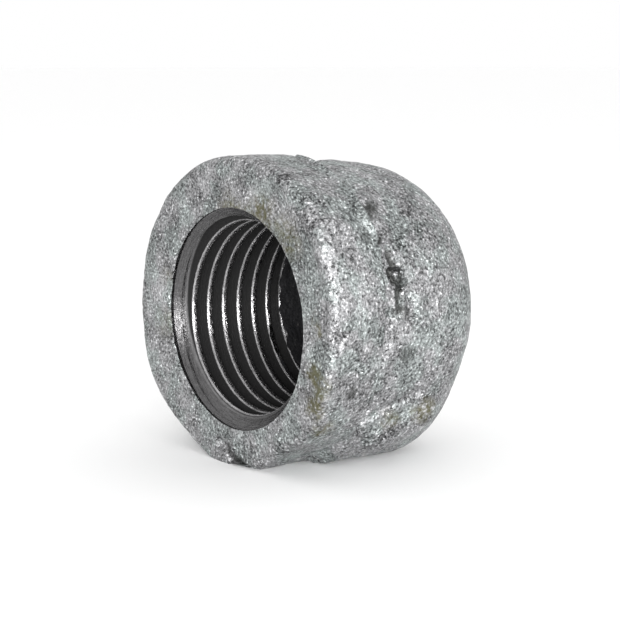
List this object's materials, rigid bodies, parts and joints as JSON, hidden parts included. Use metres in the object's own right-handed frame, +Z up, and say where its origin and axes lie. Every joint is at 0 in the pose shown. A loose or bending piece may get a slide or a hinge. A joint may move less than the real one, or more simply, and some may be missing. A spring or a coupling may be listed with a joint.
{
  "type": "pipe cap",
  "caption": "Banded female pipe cap in galvanised malleable iron: a short domed cup with a tapered internal pipe thread that closes the end of a threaded pipe.",
  "frame": {"origin": "middle of the box's underside: the cap lies on its side, as on a table", "axes": "+Y along the thread's axis from the mouth towards the crown, +Z up; the mouth faces -Y"},
  "size_m": [0.032, 0.023, 0.03],
  "materials": {
    "galvanised_iron": "hot-dip galvanised as cast, dull mottled grey; bore tapped after casting, dark machined grey"
  },
  "bodies": {
    "root": {"cap_body": "galvanised_iron"}
  },
  "joints": []
}
